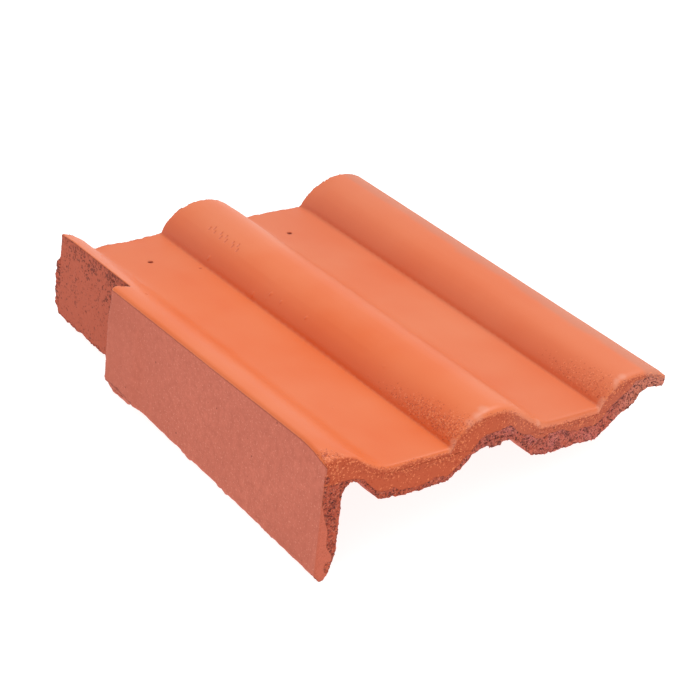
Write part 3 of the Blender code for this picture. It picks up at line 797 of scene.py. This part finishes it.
def head_wear(p, zones):
    """How worn the flap's head part is: most below its top edge and by the step."""
    _, y, z = p.T
    under_lip = np.exp(-np.abs(zones.depth - LIP_WEAR_DEPTH) / LIP_WEAR_REACH)
    by_step = np.exp(-np.abs(y - STEP_Y - STEP_WEAR_PAST) / STEP_WEAR_REACH)
    by_step = by_step * fade(*STEP_WEAR_FADE, -z)
    wear = 0.75 * under_lip + 0.75 * by_step + 0.45 * cloud(p, WEAR_LUMP, 61, 3) - 0.15
    return zones.head * np.clip(wear, 0, 1)


def relief(p, zones):
    """How far each point moves along its normal, from 0 to 1 how deep it lies in a pit, crack, stroke or
    groove, for the painted shade there, and how worn it is.
    """
    x, y, z = p.T
    gap, number = grains(p, BEAD_SPACING, 31)
    beads = fade(0.15, 0.55, gap) * (number > 0.35)
    out = BEAD_HEIGHT * zones.beads * (beads - 0.3)
    out += TOP_SWELL_HEIGHT * zones.top * cloud(p, TOP_SWELL_SIZE, 41, 2)
    gap, number = grains(p, BLISTER_SPACING, 45)
    blisters = fade(0.04, 0.13, gap) * (number > 0.55) * zones.top * (x > BLISTERS_ACROSS[0])
    out += BLISTER_HEIGHT * blisters * (x < BLISTERS_ACROSS[1]) * (y > BLISTERS_ABOVE)
    coarse = cloud(p, CRUMB_LUMP, 51, 3)
    gap, number = grains(p, CRUMB_PIT_SPACING, 52)
    pits = fade(0.2, 0.6, gap) * (number > 0.5)
    gap, number = grains(p, CRUMB_SPACING, 56)
    crumbs = fade(0.15, 0.6, gap)
    out += CRUMB_HEIGHT * zones.raw * (0.5 * coarse - 1.0 * pits + 0.6 * crumbs - 0.2)

    wear = head_wear(p, zones)
    head_pits = zones.head * smooth(0.0, 0.3, cloud(p, HEAD_PIT_SIZE, 65, 2) - 0.95 + 0.45 * wear)
    out -= HEAD_PIT_DEPTH * head_pits
    out += HEAD_SWELL_HEIGHT * zones.head * cloud(p, HEAD_SWELL_SIZE, 67, 3)
    out += FLAP_SWELL_HEIGHT * zones.flap * cloud(p, FLAP_SWELL_SIZE, 68, 3)
    pressed = zones.top * stamped_strokes(x, y)
    out -= STROKE_DEPTH * pressed
    spots = zones.top * spot_heights(x, y)
    out += spots
    from_crack = np.hypot(CRACK_STRETCH * (x - CRACK_X), y - CRACK_Y - CRACK_LEAN * x)
    crack = fade(*CRACK_WIDTH, from_crack) * zones.top
    out -= CRACK_DEPTH * crack
    burr_line = bell(z - flap_bottom(y), BURR_LINE_ABOVE + BURR_LINE_WANDER * coarse, BURR_LINE_WIDTH)
    burr_line = burr_line * zones.flap * (y > BURR_LINE_FROM)
    out -= BURR_LINE_DEPTH * burr_line

    # How deep each point lies in a hollow: the crumb's pits, the head part's pits, the pressed strokes, the
    # crack, the groove above the flap's edge and the coat's pits, which the material darkens as painted
    # shade
    raw_pits = np.clip(zones.raw * (0.6 * pits - 0.38 * coarse - 0.12), 0, 1)
    coat_pits = np.clip(-spots / FULL_SPOT, 0, 1)
    marks = [raw_pits, 0.8 * head_pits, 0.45 * pressed, 0.8 * crack, 0.7 * burr_line, coat_pits]
    return out, np.maximum.reduce(marks), wear


# Worn edges and burrs

ROUGH_LUMP = 7 * MM
SPIKE_SIZE = 9 * MM
SPIKES_FROM = 0.55
HEAD_EDGE_ROUGH = 1.6 * MM
HEAD_EDGE_DROP = 0.3 * MM
FLAP_EDGE_ROUGH = 0.55 * MM
FLAP_SPIKES = 3.6 * MM
FLAP_EDGE_BAND = 9 * MM
FLAP_EDGE_FADE = (1 * MM, 8 * MM)
FLAP_EDGE_BELOW = -0.04
FOOT_ROUGH = 0.8 * MM
FOOT_SPIKES = 1.5 * MM
FOOT_FADE = (0.5 * MM, 5 * MM)
STRAY_REACH = 14 * MM
STRAY_REACH_SHARE = 0.75
STRAY_LENGTH = (1.8 * MM, 18 * MM)
STRAY_BELOW = 4 * MM
TOP_EDGE_FADE = (2 * MM, 10 * MM)
HEAD_STRAY_FROM = (LENGTH - 22 * MM, LENGTH - 2 * MM)
COVER_DROOP_HEAD = 0.0011
COVER_DROOP_TAIL = 0.0028
COVER_DROOP_FROM = (CRESTS[1] - 30 * MM, CRESTS[1] - 4 * MM)
BURR_FADE = (6 * MM, 9 * MM)
BURR_FROM = (STEP_Y - 56 * MM, STEP_Y - 38 * MM)
BURR_DEPTHS = (-0.018, 0.010)
BURR_OUT = 2.3 * MM
BURR_UP = 1.6 * MM
BURR_UP_FROM = (STEP_Y - 4 * MM, STEP_Y - 1 * MM)
FLASH_WIDTH = 13 * MM
FLASH_LIP_WIDTH = 5 * MM
FLASH_AT_HEAD = (LENGTH - 1.0 * MM, LENGTH)
FLASH_RISES = (2 * MM, 12 * MM)
FLASH_FALLS = (46 * MM, 56 * MM)
FLASH_REACH = 6.0 * MM
FLASH_ROUGH = 1.5 * MM
FLASH_LIP = 1.3 * MM
TIP_ACROSS = (WIDTH - 4 * MM, WIDTH - 0.5 * MM)
TIP_LENGTH = (4 * MM, 12 * MM)
TIP_DEPTH = (-1 * MM, 5 * MM)
TIP_REACH = 4.0 * MM
TIP_ROUGH = 1.0 * MM


def ragged_edges(p, zones):
    """Worn edges and burrs: small moves across, along and down, added to the relief."""
    x, y, z = p.T
    move = np.zeros_like(p)
    rough = cloud(p, ROUGH_LUMP, 71, 4)
    spikes = np.maximum(0.0, cloud(p, SPIKE_SIZE, 72, 2) - SPIKES_FROM)

    above_edge = z - np.where(x > RECESS - 1 * MM, head_flap_bottom(y), flap_bottom(y))
    on_flap = (x < RECESS + HEAD_FLAP_THICKNESS + 1 * MM) & (above_edge < FLAP_EDGE_BAND)
    on_flap &= z < FLAP_EDGE_BELOW
    head_edge = HEAD_EDGE_ROUGH * rough - HEAD_EDGE_DROP
    flap_edge = FLAP_EDGE_ROUGH * rough - FLAP_SPIKES * spikes
    move[:, 2] += on_flap * fade(*FLAP_EDGE_FADE, above_edge) * np.where(y > STEP_Y, head_edge, flap_edge)

    above_foot = z - foot_height(x)
    on_foot = zones.tail * (x > FLAP_THICKNESS) * fade(*FOOT_FADE, above_foot)
    move[:, 2] += on_foot * (FOOT_ROUGH * rough - FOOT_SPIKES * spikes)
    reach = np.minimum(STRAY_REACH, STRAY_REACH_SHARE * (zones.depth + above_foot))
    low = fade(0.0, 1.0, above_foot / reach) * fade(*STRAY_LENGTH, y) * (above_foot > -STRAY_BELOW)
    low *= smooth(FLAP_THICKNESS, FLAP_THICKNESS + 2 * MM, x)
    move[:, 2] += low * (at_places(x / MM, TAIL_STRAYS) * MM)

    near_top = fade(*TOP_EDGE_FADE, zones.depth)
    at_head = smooth(*HEAD_STRAY_FROM, y)
    move[:, 2] += near_top * at_head * (at_places(x / MM, HEAD_STRAYS) * MM)
    droop = COVER_DROOP_TAIL + (COVER_DROOP_HEAD - COVER_DROOP_TAIL) * y / LENGTH
    move[:, 2] -= near_top * droop * smooth(*COVER_DROOP_FROM, x)

    burr = fade(*BURR_FADE, x) * (y < STEP_Y + 1 * MM)
    move[:, 0] -= BURR_OUT * burr * smooth(*BURR_FROM, y) * smooth(*BURR_DEPTHS, -z)
    move[:, 1] += BURR_UP * burr * smooth(*BURR_UP_FROM, y)

    flash = (x > RECESS - 1.0 * MM) * (x < RECESS + FLASH_WIDTH) * smooth(*FLASH_AT_HEAD, y)
    flash *= smooth(*FLASH_RISES, -z) * fade(*FLASH_FALLS, -z)
    move[:, 1] += flash * (FLASH_REACH + FLASH_ROUGH * rough)
    move[:, 0] -= flash * (x < RECESS + FLASH_LIP_WIDTH) * FLASH_LIP

    tip = smooth(*TIP_ACROSS, x) * fade(*TIP_LENGTH, y) * smooth(*TIP_DEPTH, zones.depth)
    move[:, 0] += tip * (TIP_REACH + TIP_ROUGH * rough)
    return move


ZONE_SHARES = ("raw", "beads", "skin", "slurry_and_shade", "flank_shade", "bloom_and_sheen", "below_arris", "painted_highlight")


def add_shares(mesh, shares):
    """Store values for each point under their names."""
    for name, values in shares.items():
        mesh.attributes.new(name, "FLOAT", "POINT").data.foreach_set("value", values.astype(np.float32))


def mesh_from(points, triangles):
    mesh = bpy.data.meshes.new(PIECE)
    mesh.vertices.add(len(points))
    mesh.vertices.foreach_set("co", points.astype(np.float32).ravel())
    mesh.loops.add(3 * len(triangles))
    mesh.loops.foreach_set("vertex_index", triangles.astype(np.int32).ravel())
    mesh.polygons.add(len(triangles))
    mesh.polygons.foreach_set("loop_start", np.arange(0, 3 * len(triangles), 3, dtype=np.int32))
    mesh.update(calc_edges=True)
    mesh.validate()
    mesh.shade_smooth()
    return mesh


def build_surface(node, to_world):
    """The tile's whole surface as one object, with its relief and what its material needs at each point."""
    points, triangles, on_top = fine_surface(node, to_world.inverted())
    normals = surface_normals(points, triangles)
    zones = Zones(points, normals, on_top)
    out, hollow_shade, wear = relief(points, zones)
    place = points + normals * out[:, None] + ragged_edges(points, zones)
    turn = np.array(to_world)
    place = place @ turn[:3, :3].T + turn[:3, 3]
    place[:, 2] = np.maximum(place[:, 2], 0.0)
    mesh = mesh_from(place, triangles)
    brick = np.clip(np.maximum(zones.flap, zones.head), 0, 1)
    add_shares(mesh, {name: getattr(zones, name) for name in ZONE_SHARES})
    under = 1 - np.clip(zones.top + zones.tail + brick, 0, 1)
    add_shares(mesh, {"brick": brick, "under": under, "head_part": zones.head})
    add_shares(mesh, {"hollow_shade": hollow_shade, "wear": wear})
    place_share = mesh.attributes.new("place", "FLOAT_VECTOR", "POINT")
    place_share.data.foreach_set("vector", points.astype(np.float32).ravel())
    return bpy.data.objects.new(PIECE, mesh)


# Finish

def srgb(red, green, blue):
    """A linear colour from 0 to 255 screen values."""
    channels = [value / 255 for value in (red, green, blue)]
    return tuple(c / 12.92 if c < 0.04045 else ((c + 0.055) / 1.055) ** 2.4 for c in channels) + (1.0,)


class Graph:
    """Adds shader nodes and wires their sockets."""

    def __init__(self, material):
        self.tree = material.node_tree

    def add(self, kind, inputs=None, **settings):
        node = self.tree.nodes.new("ShaderNode" + kind)
        for name, value in settings.items():
            setattr(node, name, value)
        for name, value in (inputs or {}).items():
            self.feed(node.inputs[name], value)
        return node

    def feed(self, socket, value):
        """Wire a socket to another one, or set its value."""
        if isinstance(value, bpy.types.NodeSocket):
            self.tree.links.new(value, socket)
        else:
            socket.default_value = value

    def share(self, name):
        return self.add("Attribute", attribute_name=name).outputs["Fac"]

    def noise(self, place, scale, detail, roughness):
        inputs = {"Vector": place, "Scale": scale, "Detail": detail, "Roughness": roughness}
        return self.add("TexNoise", inputs).outputs["Fac"]

    def cells(self, place, scale, output="Distance"):
        return self.add("TexVoronoi", {"Vector": place, "Scale": scale}).outputs[output]

    def span(self, value, low, high, start=0.0, end=1.0):
        """Value carried from low to high over to start to end."""
        inputs = {"Value": value, "From Min": low, "From Max": high, "To Min": start, "To Max": end}
        return self.add("MapRange", inputs).outputs["Result"]

    def math(self, operation, a, b=0.0):
        return self.add("Math", {0: a, 1: b}, operation=operation).outputs[0]

    def times(self, a, b):
        return self.math("MULTIPLY", a, b)

    def mix(self, share, a, b):
        """Colour a, with share of colour b over it."""
        node = self.add("Mix", {0: share, 6: a, 7: b}, data_type="RGBA")
        return node.outputs[2]


# The coat
COAT = srgb(229, 112, 54)
COAT_PALE = srgb(230, 120, 70)
COAT_DEEP = srgb(227, 103, 42)
# Painted shade in the coat's pits, strokes and crack
COAT_PIT_SHADE = srgb(156, 48, 18)
# Darker orange of the painted shade on the rolls' steep flanks
FLANK_SHADE = srgb(217, 88, 33)
# Pale grey pink of the faint chalky bloom, and of the painted sheen on the second roll
BLOOM_AND_SHEEN = srgb(172, 138, 126)
# Pale pink of the painted highlights
PAINTED_HIGHLIGHT = srgb(232, 160, 134)
# Dark orange brown of the slurry, which also carries painted shade of the tail's front face
SLURRY_AND_SHADE = srgb(184, 76, 43)
BEAD_PALE = srgb(242, 136, 88)
BEAD_DARK = srgb(168, 54, 18)

# The moulded faces, the skin on the flap's end and the raw crumb
BRICK = srgb(210, 114, 91)
BRICK_DARK = srgb(190, 98, 76)
BRICK_PALE = srgb(226, 142, 118)
HEAD_BRICK = srgb(186, 85, 58)
ARRIS_SHADE = srgb(150, 62, 44)
# Dark red brown of the brick's dark specks, and of the painted shade in its hollows
PIT = srgb(118, 46, 34)
SKIN = srgb(204, 102, 76)
RAW = srgb(182, 76, 52)
RAW_PURPLE = srgb(198, 102, 91)
RAW_ORANGE = srgb(196, 86, 54)
# Near black red of the crumb's dark grains, and of the painted shade in its pits
RAW_DARK = srgb(84, 30, 24)
# Pale pink of the crumb's pale grains, and of the painted highlight at the cover lip's end
RAW_PALE = srgb(220, 138, 112)

# How far each layer covers what is under it, and the shares of the grains that are pale and dark
COAT_LAYERS = (("flank_shade", 0.5, FLANK_SHADE), ("slurry_and_shade", 0.85, SLURRY_AND_SHADE), ("bloom_and_sheen", 0.4, BLOOM_AND_SHEEN), ("painted_highlight", 0.36, PAINTED_HIGHLIGHT))
HEAD_BRICK_SHARE = 0.8
# How dark the painted shade is in hollows and in the head part's fine pits
HOLLOW_SHADE_SHARE = 0.85
PIT_SHADE_SHARE = 0.8
PALE_GRAINS = 0.22
DARK_GRAINS = 0.26

# Noises: how many lumps to a metre, how many finer layers, and how strong those are. Cells to a metre.
BROAD_CLOUDS = (9.0, 3.0, 0.5)
STREAKS = (1.0, 4.0, 0.55)
STREAKS_PER_METRE = (30.0, 5.0, 30.0)
BRICK_SPECKS = (480.0, 2.0, 0.75)
BRICK_CLOUDS = (16.0, 4.0, 0.6)
BRICK_MOTTLE = (150.0, 4.0, 0.7)
RAW_CLOUDS = (60.0, 3.0, 0.6)
FINE_PITS = (420.0, 3.0, 0.7)
EDGE_WOBBLE = (260.0, 3.0, 0.6)
CRUMB_BUMP = (750.0, 3.0, 0.65)
GRAIN_BUMP = (900.0, 2.0, 0.6)
GRAIN_CELLS = 950.0
BEAD_CELLS = 1050.0
HOLE_CELLS = 62.0

# Roughness of the bare coat and of matt concrete, and how high the bump of the finest grain stands
COAT_ROUGHNESS = 0.42
MATT_ROUGHNESS = 0.9
BLOOM_AND_SHEEN_MATT = 0.45
BUMP_HEIGHT = 0.0005


def coat_colour(g, place):
    """The orange coat: broad faint clouds, long streaks up the roof and speckled grains near the tail."""
    broad = g.noise(place, *BROAD_CLOUDS)
    stretched = g.add("Mapping", {"Vector": place, "Scale": STREAKS_PER_METRE}).outputs[0]
    streaks = g.noise(stretched, *STREAKS)
    coat = g.mix(g.span(broad, 0.35, 0.65), COAT_DEEP, COAT_PALE)
    coat = g.mix(g.span(streaks, 0.35, 0.7, 0.0, 0.6), coat, COAT)
    for name, cover, colour in COAT_LAYERS:
        coat = g.mix(g.times(g.share(name), cover), coat, colour)
    grain = g.add("SeparateColor", {"Color": g.cells(place, GRAIN_CELLS, "Color")}).outputs[0]
    from_pale = g.math("SUBTRACT", 1.0, g.times(g.share("beads"), PALE_GRAINS))
    pale = g.span(g.math("SUBTRACT", grain, from_pale), 0.0, 0.06, 0.0, 0.65)
    to_dark = g.times(g.share("beads"), DARK_GRAINS)
    dark = g.span(g.math("SUBTRACT", to_dark, grain), 0.0, 0.06, 0.0, 0.5)
    return g.mix(dark, g.mix(pale, coat, BEAD_PALE), BEAD_DARK)


def brick_colour(g, place):
    """The uncoated moulded faces: mauve brick, finely specked light and dark, and darker up the roof."""
    specks = g.noise(place, *BRICK_SPECKS)
    brick = g.mix(g.span(g.noise(place, *BRICK_CLOUDS), 0.35, 0.65, 0.0, 0.4), BRICK, BRICK_DARK)
    brick = g.mix(g.span(g.noise(place, *BRICK_MOTTLE), 0.35, 0.65, 0.0, 0.8), brick, BRICK_DARK)
    brick = g.mix(g.span(specks, 0.58, 0.70, 0.0, 0.8), brick, BRICK_PALE)
    brick = g.mix(g.span(specks, 0.31, 0.23, 0.0, 0.85), brick, PIT)
    brick = g.mix(g.span(g.cells(place, HOLE_CELLS), 0.060, 0.045, 0.0, 0.75), brick, PIT)
    up_roof = g.add("SeparateXYZ", {"Vector": place}).outputs["Y"]
    brick = g.mix(g.span(up_roof, 0.20, 0.30, 0.0, 0.45), brick, BRICK_DARK)
    return g.mix(g.times(g.share("head_part"), HEAD_BRICK_SHARE), brick, HEAD_BRICK)


def raw_colour(g, place):
    """The crumb of the concrete: dark and pale grains in red brown, more purple to the right, and paler at
    the cover lip's end as a painted highlight.
    """
    value = g.add("SeparateColor", {"Color": g.cells(place, GRAIN_CELLS, "Color")}).outputs[0]
    across = g.add("SeparateXYZ", {"Vector": place}).outputs["X"]
    base = g.mix(g.span(across, 0.10, 0.17), RAW, RAW_PURPLE)
    base = g.mix(g.span(g.noise(place, *RAW_CLOUDS), 0.35, 0.65, 0.0, 0.8), base, RAW_ORANGE)
    # Painted highlight: the crumb at the cover lip's end is paler
    base = g.mix(g.span(across, 0.28, 0.31, 0.0, 0.6), base, RAW_PALE)
    raw = g.mix(g.span(value, 0.47, 0.0, 0.0, 1.0), base, RAW_DARK)
    return g.mix(g.span(value, 0.75, 1.0, 0.0, 0.45), raw, RAW_PALE)


def pit_share(g, place):
    """Fine pits of the worn head part: 1 in a pit, more of them where the wear is heavy."""
    fine = g.noise(place, *FINE_PITS)
    return g.span(g.math("ADD", fine, g.times(g.share("wear"), 0.13)), 0.62, 0.69)


def tile_material():
    material = bpy.data.materials.new("coated_concrete")
    material.use_nodes = True
    g = Graph(material)
    place = g.add("Attribute", attribute_name="place").outputs["Vector"]
    shader = material.node_tree.nodes["Principled BSDF"]

    wobble = g.span(g.noise(place, *EDGE_WOBBLE), 0.2, 0.8, -0.22, 0.22)
    below = g.math("ADD", g.share("below_arris"), g.times(wobble, 0.6))
    brick = g.times(g.share("brick"), g.span(below, -0.08, 0.08))
    # A thin painted shadow line along the flap's arris
    arris_shadow = g.times(g.share("brick"), g.span(g.math("ABSOLUTE", below), 0.30, 0.05, 0.0, 0.7))
    raw = g.span(g.math("ADD", g.share("raw"), wobble), 0.42, 0.58)
    pits = g.times(pit_share(g, place), g.times(brick, g.share("head_part")))
    # Painted shade: hollows and the head part's fine pits are coloured darker
    hollow_shade = g.math("MAXIMUM", g.times(g.share("hollow_shade"), HOLLOW_SHADE_SHARE), g.times(pits, PIT_SHADE_SHARE))

    uncoated = g.math("MAXIMUM", brick, g.share("under"))
    colour = g.mix(uncoated, coat_colour(g, place), brick_colour(g, place))
    colour = g.mix(arris_shadow, colour, ARRIS_SHADE)
    colour = g.mix(g.share("skin"), colour, SKIN)
    colour = g.mix(raw, colour, raw_colour(g, place))
    colour = g.mix(hollow_shade, colour, g.mix(raw, g.mix(brick, COAT_PIT_SHADE, PIT), RAW_DARK))
    g.feed(shader.inputs["Base Color"], colour)

    matt = g.math("MAXIMUM", g.math("MAXIMUM", raw, brick), g.share("under"))
    chalky = g.math("MAXIMUM", matt, g.times(g.share("bloom_and_sheen"), BLOOM_AND_SHEEN_MATT))
    chalky = g.math("MAXIMUM", chalky, g.share("slurry_and_shade"))
    g.feed(shader.inputs["Roughness"], g.span(chalky, 0.0, 1.0, COAT_ROUGHNESS, MATT_ROUGHNESS))

    bead = g.times(g.span(g.cells(place, BEAD_CELLS), 0.6, 0.05, 0.0, 0.6), g.share("beads"))
    crumb = g.times(g.noise(place, *CRUMB_BUMP), g.times(raw, 1.6))
    grain = g.times(g.noise(place, *GRAIN_BUMP), g.span(matt, 0.0, 1.0, 0.03, 0.5))
    low = g.math("SUBTRACT", grain, g.times(pits, 1.2))
    height = g.math("ADD", g.math("ADD", bead, crumb), low)
    bump = g.add("Bump", {"Height": height, "Strength": 1.0, "Distance": BUMP_HEIGHT})
    g.feed(shader.inputs["Normal"], bump.outputs["Normal"])
    return material


# Floor, light and camera

WHITE = (1.0, 1.0, 1.0, 1.0)
FLOOR_SIZE = 14.0
FLOOR_LOOK = {
    "Base Color": (0.42, 0.42, 0.42, 1.0), "Roughness": 0.9, "Specular IOR Level": 0.1,
    "Emission Color": WHITE, "Emission Strength": 0.85,
}
SKY_STRENGTH = 0.76
KEY_TOWARDS = Vector((0.42, 0.02, 0.91))
KEY_DISTANCE = 2.4
KEY_SIZE = 1.5
KEY_POWER = 18.9
TOP_TOWARDS = Vector((0.17, -0.17, 0.97))
TOP_DISTANCE = 1.6
TOP_SIZE = 0.35
TOP_POWER = 3.3
IMAGE_WIDTH = 700
FOCAL_PIXELS = 2445.2
SENSOR_WIDTH = 36.0
NEAREST_SEEN = 0.05
FARTHEST_SEEN = 50.0
CAMERA_PLACE = Vector((-0.9619, -1.2135, 0.9054))
CAMERA_FORWARD = Vector((0.5561, 0.6949, -0.4559))
CAMERA_RIGHT = Vector((0.8076, -0.5813, 0.0989))
TILE_MIDDLE = Vector((0.166, 0.210, -0.010))


def aimed(place, towards, right):
    """A matrix at place that looks along towards, with right kept as near as it can be."""
    back = -towards.normalized()
    up = back.cross(right).normalized()
    return Matrix.Translation(place) @ Matrix((up.cross(back), up, back)).transposed().to_4x4()


def make_floor():
    bpy.ops.mesh.primitive_plane_add(size=FLOOR_SIZE)
    floor = bpy.context.object
    floor.name = "floor"
    material = bpy.data.materials.new("pale_floor")
    material.use_nodes = True
    shader = material.node_tree.nodes["Principled BSDF"]
    for name, value in FLOOR_LOOK.items():
        shader.inputs[name].default_value = value
    floor.data.materials.append(material)
    return floor


def add_softbox(to_world, name, towards, distance, size, power):
    """A square light that shines at the tile's middle from a direction in the tile's frame."""
    light = bpy.data.lights.new(name, "AREA")
    light.shape = "SQUARE"
    light.size = size
    light.energy = power
    lamp = bpy.data.objects.new(name, light)
    towards = towards.normalized()
    lamp.matrix_world = to_world @ aimed(TILE_MIDDLE + towards * distance, -towards, Vector((0, 1, 0)))
    bpy.context.scene.collection.objects.link(lamp)


def make_light(to_world):
    world = bpy.data.worlds.new("studio")
    world.use_nodes = True
    sky = world.node_tree.nodes["Background"]
    sky.inputs["Color"].default_value = WHITE
    sky.inputs["Strength"].default_value = SKY_STRENGTH
    bpy.context.scene.world = world
    add_softbox(to_world, "softbox", KEY_TOWARDS, KEY_DISTANCE, KEY_SIZE, KEY_POWER)
    add_softbox(to_world, "small_softbox", TOP_TOWARDS, TOP_DISTANCE, TOP_SIZE, TOP_POWER)


def make_camera(to_world):
    lens = bpy.data.cameras.new("camera")
    lens.sensor_width = SENSOR_WIDTH
    lens.lens = FOCAL_PIXELS / IMAGE_WIDTH * SENSOR_WIDTH
    lens.clip_start = NEAREST_SEEN
    lens.clip_end = FARTHEST_SEEN
    camera = bpy.data.objects.new("camera", lens)
    camera.matrix_world = to_world @ aimed(CAMERA_PLACE, CAMERA_FORWARD, CAMERA_RIGHT)
    bpy.context.scene.collection.objects.link(camera)
    bpy.context.scene.camera = camera


to_world = tile_to_world(frame["record"])
tile = build_surface(frame["nodes"]["verge_tile"], to_world)
tile.data.materials.append(tile_material())
bpy.context.scene.collection.objects.link(tile)
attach(tile, "root")
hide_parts("verge_tile")

make_floor()
make_light(to_world)
make_camera(to_world)
bpy.context.scene.view_settings.view_transform = "Standard"
